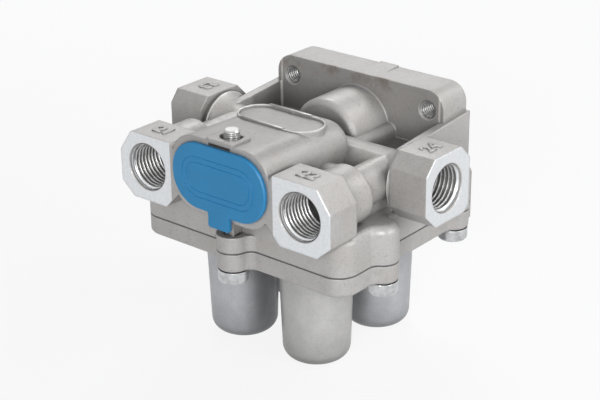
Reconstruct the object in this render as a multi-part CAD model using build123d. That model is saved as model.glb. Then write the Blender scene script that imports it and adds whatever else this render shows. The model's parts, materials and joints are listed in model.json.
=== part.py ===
"""Four-circuit protection valve with a flanged inlet, four threaded outlets and four spring domes.

The model is built about the point where the plane of the front port faces meets the height of the
port axes: X to the right, Y towards the inlet flange, Z up. It is then set down on its four domes,
with the origin under the middle of its outline. All sizes are in millimetres.
"""

from build123d import *
import os

# Threaded outlet ports, M16 x 1.5
THREAD_R = 8.0
THREAD_DEPTH = 14.0
PORT_MOUTH_R = 8.3
PASSAGE_R = 5.0
FRONT_PORT_X = 32.2
SIDE_PORT_Y = 45.9
SIDE_FACE_X = 54.3
BOSS_HALF = 11.9
FRONT_BOSS_LENGTH = 13.0
SIDE_BOSS_LENGTH = 14.1
BOSS_EDGE_R = 0.8
INNER_REACH = 14.5
RIGHT_UPPER_FRONT_CUT = (4.4, 4.6)
LEFT_UPPER_FRONT_CUT = (3.5, 4.3)
FRONT_COLLAR_R = 9.7
FRONT_COLLAR_LENGTH = 10.7
SIDE_FLARE_R = 10.5
SIDE_FLARE_LENGTH = 8.2
SIDE_FLARE_DIP = 0.3
FRONT_NECK_R = 6.7
FRONT_WEB_HALF_WIDTH = 4.3
CROSS_NECK_R = 7.4
BRIDGE_R = 5.8

# Body block and its wavy joint with the spring housing
JOINT_Z = -21.4
BLOCK_TOP_Z = -8.4
BLOCK_EDGE_R = 2.6
FRONT_WALL_Y = 7.1
FRONT_HALF_WIDTH = 43.3
REAR_HALF_WIDTH = 38.8
UPPER_HALF_WIDTH = 37.2
FRONT_CORNER_R = 7.0
SHOULDER_Y = 31.0
BODY_DEPTH = 83.3
OUTLINE_BLEND_R = 3.5

# Housing screws, M6
SCREW_R = 3.0
SCREW_LENGTH = 12.0
SCREW_HEAD_R = 5.15
SCREW_HEAD_H = 4.4
SCREW_SOCKET_R = 2.3
SCREW_SOCKET_DEPTH = 1.8
LOBE_R = 5.4
FRONT_SCREW_Y = 5.2
MIDDLE_SCREW = (42.4, 28.3)
REAR_SCREW = (36.8, 75.6)
BACK_SCREW_Y = 77.0
FRONT_LOBE_H = 5.6

# Supply barrel with its front opening
BARREL_Z = 3.25
BARREL_HALF_WIDTH = 20.4
BARREL_HALF_HEIGHT = 12.9
BARREL_CORNER_R = 9.5
BARREL_LENGTH = 42.5
BARREL_DRAFT_DEG = 2.0
BARREL_TAIL_R = 3.0
KEEL_HALF_WIDTH = 10.5
KEEL_RISE = 1.5
PAD_HALF_WIDTH = 5.6
PAD_LENGTH = 9.2
PAD_RISE = 0.6
HOOK_SLOT_HALF_WIDTH = 4.6
HOOK_SLOT_H = 0.9
HOOK_SLOT_DEPTH = 1.5
OPENING_HALF_WIDTH = 17.0
OPENING_HALF_HEIGHT = 8.8
OPENING_CORNER_R = 8.0
OPENING_DEPTH = 13.0

# Raised oblong plate on the barrel
PLATE_LENGTH = 33.0
PLATE_WIDTH = 15.2
PLATE_Y = 29.8
PLATE_TOP_Z = 15.6
PLATE_RIM = 0.7
PLATE_SINK = 0.6
PLATE_WALL_RISE = 0.45
PLATE_WALL_LENGTH = 18.0
PLATE_WALL_SHIFT = -2.0
PLATE_NUB = 1.1

# Inlet flange, its boss and the side gussets
FLANGE_HALF_WIDTH = 35.6
FLANGE_THICKNESS = 13.1
FLANGE_TOP_Z = 20.4
FLANGE_CORNER_R = 6.5
MOUNT_HOLE_R = 3.0
MOUNT_HOLE_X = 29.0
MOUNT_HOLE_Z = 13.3
MOUNT_FRONT_MOUTH_R = 3.55
MOUNT_BACK_MOUTH_R = 3.3
GATE_X = 3.8
GATE_WIDTH = 7.6
GATE_LENGTH = 8.5
GATE_RISE = 0.5
GATE_DIP = 0.06
INLET_Z = 2.35
INLET_BOSS_R = 13.3
INLET_BOSS_FRONT_Y = 51.5
INLET_BOSS_EDGE_R = 2.2
INLET_BLOCK_HALF_WIDTH = 16.3
INLET_BLOCK_TOP_Z = 5.3
INLET_BLOCK_EDGE_R = 2.8
INLET_R = 6.5
INLET_DEPTH = 22.0
GALLERY_R = 5.8
INLET_RING_R = 9.2
INLET_CORD_R = 1.3
INLET_RING_PROUD = 0.5
POCKET_FLOOR_Z = 0.6
POCKET_CORNER_R = 0.6
GUSSET_THICKNESS = 3.0
GUSSET_FRONT_TOP_Z = 8.3
GUSSET_REAR_TOP_Z = 11.2

# Spring housing with its domes
HOUSING_FLANGE_H = 6.9
HOUSING_EDGE_R = 1.4
JOINT_EDGE = 0.3
DOME_X = 16.05
DOME_FRONT_Y = 27.6
DOME_REAR_Y = 60.6
DOME_TOP_R = 12.5
DOME_BOTTOM_R = 11.3
DOME_BOTTOM_Z = -64.0
DOME_EDGE_R = 4.5
DOME_WALL = 2.2
DOME_FLOOR = 3.0

# Valve in each circuit
SEAT_BORE_R = 4.0
SEAT_TUBE_R = 5.4
SEAT_DROP = 2.2
SEAT_LIP = 0.5
CHAMBER_R = 11.5
CHAMBER_H = 7.4
VALVE_TRAVEL = 2.5
VALVE_HEAD_R = 7.2
VALVE_HEAD_H = 2.6
VALVE_SEAL_R = 6.4
VALVE_SEAL_H = 1.2
STEM_R = 2.0
STEM_TAIL = 1.5
DIAPHRAGM_R = 14.3
DIAPHRAGM_BEAD = 1.7
DIAPHRAGM_BEAD_H = 2.2
DIAPHRAGM_T = 1.2
DIAPHRAGM_LIP = 1.2
ROLL_DEPTH = 1.1
SPRING_PLATE_R = 8.6
SPRING_PLATE_H = 1.8
SPRING_WIRE_R = 1.25
SPRING_MEAN_R = 6.9
SPRING_TURNS = 6
SPRING_GUIDE_H = 2.6
SPRING_SEAT_H = 1.5

# Check valves side by side in the barrel
CHECK_X = 9.0
CHECK_BORE_R = 6.2
CHECK_SEAT_R = 3.4
CHECK_SEAT_Y = 24.0
CHECK_TRAVEL = 2.0
CHECK_HEAD_R = 5.0
CHECK_HEAD_H = 2.4
CHECK_STEM_R = 1.8
CHECK_STEM_LENGTH = 6.0
CHECK_SEAL_R = 4.6
CHECK_SEAL_H = 1.0
CHECK_WIRE_R = 0.45
CHECK_MEAN_R = 3.3
CHECK_TURNS = 5

# Closing plug, its ring, the locking pin and the push-on cover
PLUG_FRONT_Y = 1.6
PLUG_RING_Y = 10.7
PLUG_RING_R = 1.1
PIN_R = 2.6
PIN_Y = 6.2
PIN_RISE = 2.3
PIN_WELL_R = 3.9
PIN_WELL_DEPTH = 2.2
PIN_GRIP = 4.0
PIN_GROOVE = 0.3
COVER_HALF_WIDTH = 19.5
COVER_HALF_HEIGHT = 11.25
COVER_CORNER_R = 10.8
COVER_T = 1.3
COVER_EDGE = 0.4
COVER_GROOVE_INSET = 4.2
COVER_GROOVE_W = 0.5
COVER_GROOVE_STEP = 1.9
COVER_SPIGOT_T = 1.4
TAB_HALF_WIDTH = 4.4
TAB_BOTTOM_Z = -12.8

# Running and assembly clearances, and how near counts as lying in a plane
SLIDE_GAP = 0.15
FIT_GAP = 0.1
TOUCH_GAP = 0.02
NEAR = 0.01

# Passages between the chambers
WELL_R = 3.2
WELL_X = 6.2
WELL_Y = 36.0
FEED_R = 2.5
FEED_Z = -9.0
FEED_Y = 17.5
LINK_R = 3.6
LINK_Z = -6.8
CROSS_R = 2.0
CHECK_LINK_R = 2.4
CHECK_LINK_Z = 1.0

STANDING = (Align.CENTER, Align.CENTER, Align.MIN)
FOOT_DROP = DOME_BOTTOM_Z
MIDDLE_Y = (BODY_DEPTH + INLET_RING_PROUD - COVER_T) / 2
CIRCUITS = {
    "21": (-DOME_X, DOME_FRONT_Y),
    "22": (DOME_X, DOME_FRONT_Y),
    "23": (-DOME_X, DOME_REAR_Y),
    "24": (DOME_X, DOME_REAR_Y),
}
SEAT_Z = JOINT_Z + SEAT_DROP
CHAMBER_TOP_Z = JOINT_Z + CHAMBER_H
HEAD_BOTTOM_Z = SEAT_Z - TOUCH_GAP - VALVE_HEAD_H
PLATE_TOP = HEAD_BOTTOM_Z - DIAPHRAGM_T
SPRING_TOP_Z = PLATE_TOP - SPRING_PLATE_H
SEAT_PLATE_Z = DOME_BOTTOM_Z + DOME_FLOOR
SPRING_BOTTOM_Z = SEAT_PLATE_Z + SPRING_SEAT_H
HOUSING_BOTTOM_Z = JOINT_Z - HOUSING_FLANGE_H
FLANGE_FRONT_Y = BODY_DEPTH - FLANGE_THICKNESS
GALLERY_END_Y = WELL_Y - WELL_R - 1.0
CHECK_BORE_DEPTH = CHECK_SEAT_Y - OPENING_DEPTH


def rod(start, direction, radius, length):
    """A round bar from a start point along a direction."""
    plane = Plane(origin=start, z_dir=direction)
    return extrude(plane * Circle(radius), length)


def front_plane(x, y, z):
    """A sketch plane that faces the front, with local x to the right and local y up."""
    return Plane(origin=(x, y, z), x_dir=(1, 0, 0), z_dir=(0, -1, 0))


def right_plane(x, y, z):
    """A sketch plane that faces right, with local x to the back and local y up."""
    return Plane(origin=(x, y, z), x_dir=(0, 1, 0), z_dir=(1, 0, 0))


def both_sides(shape):
    """The shape and its mirror image across the middle plane."""
    return shape + mirror(shape, about=Plane.YZ)


def faceted_outline(left, right, bottom, top, cuts):
    """A port boss section: a rectangle whose four corners are cut off by (along, up) amounts."""
    lower_right, upper_right, upper_left, lower_left = cuts
    return Polygon(
        (right, bottom + lower_right[1]),
        (right, top - upper_right[1]),
        (right - upper_right[0], top),
        (left + upper_left[0], top),
        (left, top - upper_left[1]),
        (left, bottom + lower_left[1]),
        (left + lower_left[0], bottom),
        (right - lower_right[0], bottom),
        align=None,
    )


def boss(plane, outline, length):
    """A faceted boss behind its port face, with its long edges rounded as cast."""
    body = extrude(plane * outline, -length)
    along = body.edges().filter_by(Axis(plane.origin, plane.z_dir))
    return fillet(along, BOSS_EDGE_R)


def neck_section(radius, web_half_width):
    """The round section of a port's neck with the web that it stands on."""
    depth = 1 - BLOCK_TOP_Z
    return Circle(radius) + Pos(0, -depth / 2) * Rectangle(2 * web_half_width, depth)


def front_boss():
    outline = faceted_outline(
        -INNER_REACH, BOSS_HALF, -BOSS_HALF, BOSS_HALF - 0.9,
        ((5.3, 4.6), (5.0, 7.2), (3.9, 5.0), (6.5, 6.8)),
    )
    body = boss(front_plane(FRONT_PORT_X, 0, 0), outline, FRONT_BOSS_LENGTH)
    collar_start = (FRONT_PORT_X, FRONT_BOSS_LENGTH, 0)
    body += rod(collar_start, (0, 1, 0), FRONT_COLLAR_R, FRONT_COLLAR_LENGTH)
    start = FRONT_BOSS_LENGTH + FRONT_COLLAR_LENGTH - 1
    section = neck_section(FRONT_NECK_R, FRONT_WEB_HALF_WIDTH)
    return body + extrude(front_plane(FRONT_PORT_X, start, 0) * section, start - SIDE_PORT_Y)


def side_boss(upper_front_cut):
    """A side port boss on the right, flared down to the cross neck."""
    outline = faceted_outline(
        -BOSS_HALF + 0.5, BOSS_HALF + 0.4, -BOSS_HALF + 0.3, BOSS_HALF,
        ((2.4, 2.4), (5.0, 5.0), upper_front_cut, (5.7, 5.4)),
    )
    body = boss(right_plane(SIDE_FACE_X, SIDE_PORT_Y, 0), outline, SIDE_BOSS_LENGTH)
    end = SIDE_FACE_X - SIDE_BOSS_LENGTH
    inward = Plane(origin=(end, SIDE_PORT_Y, 0), z_dir=(-1, 0, 0))
    neck_r = CROSS_NECK_R - SIDE_FLARE_DIP
    body += inward * Cone(SIDE_FLARE_R, neck_r, SIDE_FLARE_LENGTH, align=STANDING)
    section = neck_section(CROSS_NECK_R, CROSS_NECK_R)
    return body + extrude(right_plane(end, SIDE_PORT_Y, 0) * section, -end)


def seat_bridge():
    """The short pipe between a front neck and the barrel, round the way to the front seat."""
    section = neck_section(BRIDGE_R, BRIDGE_R)
    reach = FRONT_PORT_X - DOME_X + BRIDGE_R
    return extrude(right_plane(FRONT_PORT_X, DOME_FRONT_Y, 0) * section, -reach)


def box_between(x0, x1, y0, y1, z0, z1):
    """A plain block between two corners."""
    corner = Location(((x0 + x1) / 2, (y0 + y1) / 2, (z0 + z1) / 2))
    return corner * Box(x1 - x0, y1 - y0, z1 - z0)


def screw_points():
    """Where the housing screws stand, seen from above."""
    points = [(0, FRONT_SCREW_Y), (0, BACK_SCREW_Y)]
    for x, y in (MIDDLE_SCREW, REAR_SCREW):
        points += [(x, y), (-x, y)]
    return points


def joint_outline(with_front_lobe):
    """The wavy outline that the body block and the spring housing share at their joint."""
    front_depth = SHOULDER_Y - FRONT_WALL_Y
    front = Pos(0, FRONT_WALL_Y + front_depth / 2) * RectangleRounded(
        2 * FRONT_HALF_WIDTH, front_depth, FRONT_CORNER_R
    )
    rear_start = FRONT_WALL_Y + FRONT_CORNER_R
    rear_depth = BODY_DEPTH - rear_start
    rear = Pos(0, rear_start + rear_depth / 2) * Rectangle(2 * REAR_HALF_WIDTH, rear_depth)
    outline = front + rear
    for x, y in screw_points():
        if with_front_lobe or y > FRONT_WALL_Y:
            outline += Pos(x, y) * Circle(LOBE_R)
    grown = offset(outline, OUTLINE_BLEND_R, kind=Kind.ARC)
    return offset(grown, -OUTLINE_BLEND_R, kind=Kind.ARC)


def body_block():
    """The block that carries everything, from the joint up to the shelf under the ports."""
    block = extrude(Pos(0, 0, JOINT_Z) * joint_outline(False), BLOCK_TOP_Z - JOINT_Z)
    top_edges = block.edges().group_by(Axis.Z)[-1]
    open_edges = [edge for edge in top_edges if edge.center().Y < BODY_DEPTH - BLOCK_EDGE_R]
    block = fillet(open_edges, BLOCK_EDGE_R)
    lobe = joint_outline(True) & (Pos(0, FRONT_SCREW_Y) * Rectangle(4 * LOBE_R, 4 * LOBE_R))
    block += extrude(Pos(0, 0, JOINT_Z) * lobe, FRONT_LOBE_H)
    latch_z = JOINT_Z + FRONT_LOBE_H
    block += box_between(0.8, 2.6, 2.6, FRONT_WALL_Y + 1, latch_z - 1, latch_z + 5)
    block += box_between(
        -UPPER_HALF_WIDTH, UPPER_HALF_WIDTH, SIDE_PORT_Y, BODY_DEPTH, JOINT_Z, POCKET_FLOOR_Z
    )
    return block


def barrel_outline():
    return RectangleRounded(2 * BARREL_HALF_WIDTH, 2 * BARREL_HALF_HEIGHT, BARREL_CORNER_R)


def barrel():
    """The supply barrel, drafted towards its tail, with its keel, the pin pad and the oblong plate."""
    nose = Plane(origin=(0, 0, BARREL_Z), x_dir=(1, 0, 0), z_dir=(0, 1, 0)) * barrel_outline()
    body = extrude(nose, BARREL_LENGTH, taper=BARREL_DRAFT_DEG)
    tail_edges = body.faces().sort_by(Axis.Y)[-1].edges()
    body = fillet(tail_edges, BARREL_TAIL_R)
    top = BARREL_Z + BARREL_HALF_HEIGHT
    pad = box_between(-PAD_HALF_WIDTH, PAD_HALF_WIDTH, 0, PAD_LENGTH, top - 4, top + PAD_RISE)
    body += fillet(pad.edges().filter_by(Axis.Z), 1.0)
    body += box_between(
        -KEEL_HALF_WIDTH, KEEL_HALF_WIDTH, OPENING_DEPTH, SIDE_PORT_Y, BLOCK_TOP_Z - KEEL_RISE,
        BLOCK_TOP_Z + KEEL_RISE,
    )
    return body + oblong_plate()


def oblong_plate():
    """The raised oblong on the barrel, dished, with a low wall and a nub along each long side."""
    base = Pos(0, PLATE_Y, BARREL_Z) * SlotOverall(PLATE_LENGTH, PLATE_WIDTH)
    plate = extrude(base, PLATE_TOP_Z - BARREL_Z)
    dish = Pos(0, PLATE_Y, PLATE_TOP_Z) * SlotOverall(
        PLATE_LENGTH - 2 * PLATE_RIM, PLATE_WIDTH - 2 * PLATE_RIM
    )
    plate -= extrude(dish, -PLATE_SINK)
    wall_top = PLATE_TOP_Z + PLATE_WALL_RISE
    wall_end = PLATE_WALL_SHIFT + PLATE_WALL_LENGTH / 2
    for side, nub_x in ((-1, wall_end - PLATE_NUB / 2), (1, PLATE_WALL_SHIFT + PLATE_NUB)):
        wall_y = PLATE_Y + side * (PLATE_WIDTH - PLATE_RIM) / 2
        middle = (wall_top + BARREL_Z) / 2
        wall = Box(PLATE_WALL_LENGTH, PLATE_RIM, wall_top - BARREL_Z)
        plate += Pos(PLATE_WALL_SHIFT, wall_y, middle) * wall
        nub = Box(PLATE_NUB, PLATE_NUB, wall_top - BARREL_Z)
        plate += Pos(nub_x, wall_y - side * (PLATE_NUB - PLATE_RIM) / 2, middle) * nub
    return plate


def inlet_flange():
    """The mounting flange with its rounded upper corners, casting gate and side gussets."""
    height = FLANGE_TOP_Z - BLOCK_TOP_Z
    plate = box_between(
        -FLANGE_HALF_WIDTH, FLANGE_HALF_WIDTH, FLANGE_FRONT_Y, BODY_DEPTH,
        FLANGE_TOP_Z - height, FLANGE_TOP_Z,
    )
    corners = plate.edges().filter_by(Axis.Y).group_by(Axis.Z)[-1]
    plate = fillet(corners, FLANGE_CORNER_R)
    gate = Polygon(
        (BODY_DEPTH - GATE_LENGTH, FLANGE_TOP_Z - 1),
        (BODY_DEPTH, FLANGE_TOP_Z - 1),
        (BODY_DEPTH, FLANGE_TOP_Z + GATE_RISE),
        (BODY_DEPTH - GATE_LENGTH, FLANGE_TOP_Z - GATE_DIP),
        align=None,
    )
    plate += extrude(right_plane(GATE_X + GATE_WIDTH / 2, 0, 0) * gate, -GATE_WIDTH)
    gusset = Polygon(
        (SIDE_PORT_Y, BLOCK_TOP_Z),
        (BODY_DEPTH, BLOCK_TOP_Z),
        (BODY_DEPTH, GUSSET_REAR_TOP_Z),
        (SIDE_PORT_Y, GUSSET_FRONT_TOP_Z),
        align=None,
    )
    wall = extrude(right_plane(UPPER_HALF_WIDTH, 0, 0) * gusset, -GUSSET_THICKNESS)
    return plate + both_sides(wall)


def inlet_boss():
    """The round inlet boss between the flange and the cross neck, on its low block."""
    length = FLANGE_FRONT_Y + 1 - INLET_BOSS_FRONT_Y
    boss_body = rod((0, INLET_BOSS_FRONT_Y, INLET_Z), (0, 1, 0), INLET_BOSS_R, length)
    nose = boss_body.edges().group_by(Axis.Y)[0]
    boss_body = fillet(nose, INLET_BOSS_EDGE_R)
    block = box_between(
        -INLET_BLOCK_HALF_WIDTH, INLET_BLOCK_HALF_WIDTH, SIDE_PORT_Y, FLANGE_FRONT_Y + 1,
        BLOCK_TOP_Z, INLET_BLOCK_TOP_Z,
    )
    long_edges = block.edges().filter_by(Axis.Y).group_by(Axis.Z)[-1]
    return boss_body + fillet(long_edges, INLET_BLOCK_EDGE_R)


def pocket_edges(body):
    """The edges where the inlet boss, its block, the pocket floors and the gussets meet the flange."""
    reach = UPPER_HALF_WIDTH - GUSSET_THICKNESS + NEAR
    found = []
    for edge in body.edges():
        box = edge.bounding_box()
        on_face = abs(box.min.Y - FLANGE_FRONT_Y) < NEAR and abs(box.max.Y - FLANGE_FRONT_Y) < NEAR
        inside = box.max.X < reach and box.min.X > -reach and box.max.Z < FLANGE_TOP_Z - NEAR
        if on_face and inside:
            found.append(edge)
    return found


def threaded_bore(start, inward):
    """A threaded hole at its major radius, with a chamfered mouth and the cored passage behind."""
    bore = rod(start, inward, THREAD_R, THREAD_DEPTH)
    mouth = Plane(origin=start, z_dir=inward) * Circle(PORT_MOUTH_R)
    step = PORT_MOUTH_R - THREAD_R
    return bore + extrude(mouth, step, taper=45)


def valve_cavities():
    """The chamber, seat and outlet of each circuit, cut up from the joint face."""
    chamber = rod((0, 0, JOINT_Z), (0, 0, 1), CHAMBER_R, CHAMBER_H)
    tube_start = SEAT_Z + 2 * SEAT_LIP
    tube = rod((0, 0, tube_start), (0, 0, 1), SEAT_TUBE_R, CHAMBER_H)
    lip = Pos(0, 0, SEAT_Z + SEAT_LIP) * Cone(SEAT_BORE_R + SEAT_LIP, SEAT_TUBE_R, 2 * SEAT_LIP)
    room = chamber - (tube + lip)
    cuts = []
    for x, y in CIRCUITS.values():
        top = 0 if y < SIDE_PORT_Y else LINK_Z
        outlet = rod((x, y, SEAT_Z - 1), (0, 0, 1), SEAT_BORE_R, top - SEAT_Z + 1)
        cuts += [Pos(x, y, 0) * room, outlet]
    return cuts


def passages():
    """The cored ways from the inlet to the chambers and from the seats to the ports."""
    inlet = (0, BODY_DEPTH, INLET_Z)
    ways = [
        rod(inlet, (0, -1, 0), INLET_R, INLET_DEPTH),
        rod(inlet, (0, -1, 0), GALLERY_R, BODY_DEPTH - GALLERY_END_Y),
    ]
    well_top = INLET_Z + 1.0
    well_bottom = SEAT_Z + 1.0
    for side in (-1, 1):
        port = side * FRONT_PORT_X
        inner = side * DOME_X
        check = side * CHECK_X
        start = side * (SIDE_FACE_X - THREAD_DEPTH + 1)
        behind = THREAD_DEPTH - 1
        seat_start = CHECK_SEAT_Y - 1
        ways += [
            rod((port, behind, 0), (0, 1, 0), PASSAGE_R, DOME_FRONT_Y - behind),
            rod((port, DOME_FRONT_Y, 0), (-side, 0, 0), SEAT_BORE_R, FRONT_PORT_X - DOME_X),
            rod((start, SIDE_PORT_Y, 0), (-side, 0, 0), PASSAGE_R, abs(start) - DOME_X),
            rod((inner, SIDE_PORT_Y, LINK_Z), (0, 1, 0), LINK_R, DOME_REAR_Y - SIDE_PORT_Y),
            rod((side * WELL_X, WELL_Y, well_top), (0, 0, -1), WELL_R, well_top - well_bottom),
            rod((check, OPENING_DEPTH - 1, BARREL_Z), (0, 1, 0), CHECK_BORE_R, CHECK_BORE_DEPTH + 1),
            rod((check, seat_start, BARREL_Z), (0, 1, 0), CHECK_SEAT_R, DOME_FRONT_Y - seat_start),
            rod((check, DOME_FRONT_Y, CHECK_LINK_Z), (side, 0, 0), CHECK_LINK_R, DOME_X - CHECK_X),
        ]
    cross_z = CHAMBER_TOP_Z - FEED_R
    reach = DOME_X - CHAMBER_R + 2
    ways += [
        rod((-CHECK_X, FEED_Y, BARREL_Z), (1, 0, 0), FEED_R, 2 * CHECK_X),
        rod((0, FEED_Y, BARREL_Z), (0, 0, -1), FEED_R, BARREL_Z - FEED_Z),
        rod((0, FEED_Y, FEED_Z), (0, 1, 0), FEED_R, DOME_REAR_Y - FEED_Y),
        rod((0, DOME_REAR_Y, FEED_Z), (0, 0, -1), FEED_R, FEED_Z - cross_z),
        rod((-reach, DOME_REAR_Y, cross_z), (1, 0, 0), CROSS_R, 2 * reach),
    ]
    return ways


def upper_body():
    """The one aluminium casting that holds the ports, the barrel, the inlet and the seats."""
    body = body_block() + inlet_flange() + inlet_boss()
    body = fillet(pocket_edges(body), POCKET_CORNER_R)
    body += side_boss(RIGHT_UPPER_FRONT_CUT)
    body += mirror(side_boss(LEFT_UPPER_FRONT_CUT), about=Plane.YZ)
    body += both_sides(front_boss())
    body += both_sides(seat_bridge())
    body += barrel()
    for cut in valve_cavities() + passages():
        body -= cut
    for side in (-1, 1):
        body -= threaded_bore((side * FRONT_PORT_X, 0, 0), (0, 1, 0))
        body -= threaded_bore((side * SIDE_FACE_X, SIDE_PORT_Y, 0), (-side, 0, 0))
        hole = (side * MOUNT_HOLE_X, BODY_DEPTH, MOUNT_HOLE_Z)
        body -= rod(hole, (0, -1, 0), MOUNT_HOLE_R, FLANGE_THICKNESS)
        for y, inward, mouth_r in (
            (FLANGE_FRONT_Y, (0, 1, 0), MOUNT_FRONT_MOUTH_R),
            (BODY_DEPTH, (0, -1, 0), MOUNT_BACK_MOUTH_R),
        ):
            mouth = Plane(origin=(hole[0], y, MOUNT_HOLE_Z), z_dir=inward) * Circle(mouth_r)
            body -= extrude(mouth, mouth_r - MOUNT_HOLE_R, taper=45)
    opening = front_plane(0, 0, BARREL_Z) * RectangleRounded(
        2 * OPENING_HALF_WIDTH, 2 * OPENING_HALF_HEIGHT, OPENING_CORNER_R
    )
    body -= extrude(opening, -OPENING_DEPTH)
    slot_bottom = BARREL_Z + COVER_HALF_HEIGHT
    body -= box_between(
        -HOOK_SLOT_HALF_WIDTH, HOOK_SLOT_HALF_WIDTH, -1, HOOK_SLOT_DEPTH,
        slot_bottom, slot_bottom + HOOK_SLOT_H,
    )
    top = BARREL_Z + BARREL_HALF_HEIGHT + PAD_RISE
    body -= rod((0, PIN_Y, top), (0, 0, -1), PIN_R + FIT_GAP, top - BARREL_Z)
    body -= rod((0, PIN_Y, top), (0, 0, -1), PIN_WELL_R, PIN_WELL_DEPTH)
    ring = Plane(origin=(0, BODY_DEPTH, INLET_Z), z_dir=(0, -1, 0))
    groove = Circle(INLET_RING_R + 1.2 * INLET_CORD_R) - Circle(INLET_RING_R - 1.2 * INLET_CORD_R)
    body -= extrude(ring * groove, 2 * INLET_CORD_R - INLET_RING_PROUD + TOUCH_GAP)
    for x, y in screw_points():
        depth = SCREW_LENGTH - HOUSING_FLANGE_H + 0.6
        body -= rod((x, y, JOINT_Z), (0, 0, 1), SCREW_R, depth)
    return body


def dome_inner_r(z):
    """The inside radius of a dome at a height, following its drafted wall."""
    share = (z - DOME_BOTTOM_Z) / (HOUSING_BOTTOM_Z - DOME_BOTTOM_Z)
    return DOME_BOTTOM_R + share * (DOME_TOP_R - DOME_BOTTOM_R) - DOME_WALL


def dome_cavity():
    """The space in one dome: bead groove, diaphragm room and spring bore, as one turned shape."""
    groove_floor = JOINT_Z - DIAPHRAGM_BEAD_H
    lip_top = JOINT_Z - DIAPHRAGM_T - FIT_GAP
    lip_r = DIAPHRAGM_R - DIAPHRAGM_BEAD - DIAPHRAGM_LIP + 0.4
    room_floor = JOINT_Z - HOUSING_FLANGE_H + 1
    profile = Polyline(
        (0, JOINT_Z + 1),
        (DIAPHRAGM_R + FIT_GAP, JOINT_Z + 1),
        (DIAPHRAGM_R + FIT_GAP, groove_floor),
        (DIAPHRAGM_R - DIAPHRAGM_BEAD, groove_floor),
        (DIAPHRAGM_R - DIAPHRAGM_BEAD, lip_top),
        (lip_r, lip_top),
        (lip_r, room_floor),
        (dome_inner_r(room_floor), room_floor),
        (dome_inner_r(SEAT_PLATE_Z), SEAT_PLATE_Z),
        (0, SEAT_PLATE_Z),
        close=True,
    )
    return revolve(Plane.XZ * make_face(profile), Axis.Z)


def spring_housing():
    """The lower casting: a wavy flange with four drafted, blind domes."""
    flange = extrude(Pos(0, 0, HOUSING_BOTTOM_Z) * joint_outline(True), HOUSING_FLANGE_H)
    under = flange.edges().group_by(Axis.Z)[0]
    body = fillet(under, HOUSING_EDGE_R)
    body = chamfer(body.edges().group_by(Axis.Z)[-1], JOINT_EDGE)
    height = JOINT_Z - 1 - DOME_BOTTOM_Z
    slope = (DOME_TOP_R - DOME_BOTTOM_R) / (HOUSING_BOTTOM_Z - DOME_BOTTOM_Z)
    dome = Cone(DOME_BOTTOM_R, DOME_BOTTOM_R + slope * height, height, align=STANDING)
    dome = fillet(dome.edges().group_by(Axis.Z)[0], DOME_EDGE_R)
    cavity = dome_cavity()
    for x, y in CIRCUITS.values():
        body += Pos(x, y, DOME_BOTTOM_Z) * dome
    for x, y in CIRCUITS.values():
        body -= Pos(x, y, 0) * cavity
    for x, y in screw_points():
        seat = rod((x, y, HOUSING_BOTTOM_Z), (0, 0, -1), SCREW_HEAD_R + FIT_GAP, DOME_TOP_R)
        body -= seat
        body -= rod((x, y, HOUSING_BOTTOM_Z - 1), (0, 0, 1), SCREW_R + FIT_GAP, HOUSING_FLANGE_H + 2)
    return body


def housing_screw():
    """One flanged screw with a hexagon socket, head down, its seat at local zero."""
    shank = rod((0, 0, 0), (0, 0, 1), SCREW_R - TOUCH_GAP, SCREW_LENGTH)
    shank = chamfer(shank.edges().group_by(Axis.Z)[-1], 0.6)
    head = rod((0, 0, 0), (0, 0, -1), SCREW_HEAD_R, SCREW_HEAD_H)
    head = fillet(head.edges().group_by(Axis.Z)[0], 1.2)
    socket = Plane(origin=(0, 0, -SCREW_HEAD_H), z_dir=(0, 0, 1)) * RegularPolygon(SCREW_SOCKET_R, 6)
    return shank + head - extrude(socket, SCREW_SOCKET_DEPTH)


def coil(mean_r, wire_r, length, turns):
    """A compression spring standing on z = 0, with both ends ground flat."""
    pitch = length / turns
    path = Helix(pitch, length, mean_r)
    section = Plane(origin=path @ 0, z_dir=path % 0) * Circle(wire_r)
    wire = sweep(section, path=path)
    outer = mean_r + 2 * wire_r
    return wire & extrude(Circle(outer), length)


def valve_seal():
    """The rubber ring in the head that closes on the seat."""
    return rod((0, 0, SEAT_Z - TOUCH_GAP), (0, 0, -1), VALVE_SEAL_R, VALVE_SEAL_H) - rod(
        (0, 0, SEAT_Z), (0, 0, -1), STEM_R, VALVE_HEAD_H
    )


def valve_head():
    """The valve head with its seal pocket and the stem that goes through the diaphragm."""
    head = rod((0, 0, HEAD_BOTTOM_Z), (0, 0, 1), VALVE_HEAD_R, VALVE_HEAD_H)
    pocket = rod((0, 0, SEAT_Z), (0, 0, -1), VALVE_SEAL_R, VALVE_SEAL_H + TOUCH_GAP)
    core = rod((0, 0, SEAT_Z - TOUCH_GAP), (0, 0, -1), STEM_R, VALVE_HEAD_H)
    stem_length = DIAPHRAGM_T + SPRING_PLATE_H + STEM_TAIL
    stem = rod((0, 0, HEAD_BOTTOM_Z), (0, 0, -1), STEM_R, stem_length)
    stem = chamfer(stem.edges().group_by(Axis.Z)[0], 0.4)
    return head - pocket + core + stem


def spring_plate():
    """The pressed plate that takes the spring and holds the diaphragm against the head."""
    plate = rod((0, 0, PLATE_TOP), (0, 0, -1), SPRING_PLATE_R, SPRING_PLATE_H)
    plate = fillet(plate.edges().group_by(Axis.Z)[-1], 0.6)
    guide_r = SPRING_MEAN_R - SPRING_WIRE_R - SLIDE_GAP
    guide = rod((0, 0, SPRING_TOP_Z), (0, 0, -1), guide_r, SPRING_GUIDE_H)
    guide = fillet(guide.edges().group_by(Axis.Z)[0], 0.8)
    return plate + guide - rod((0, 0, PLATE_TOP), (0, 0, -1), STEM_R, SPRING_PLATE_H + SPRING_GUIDE_H)


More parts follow.
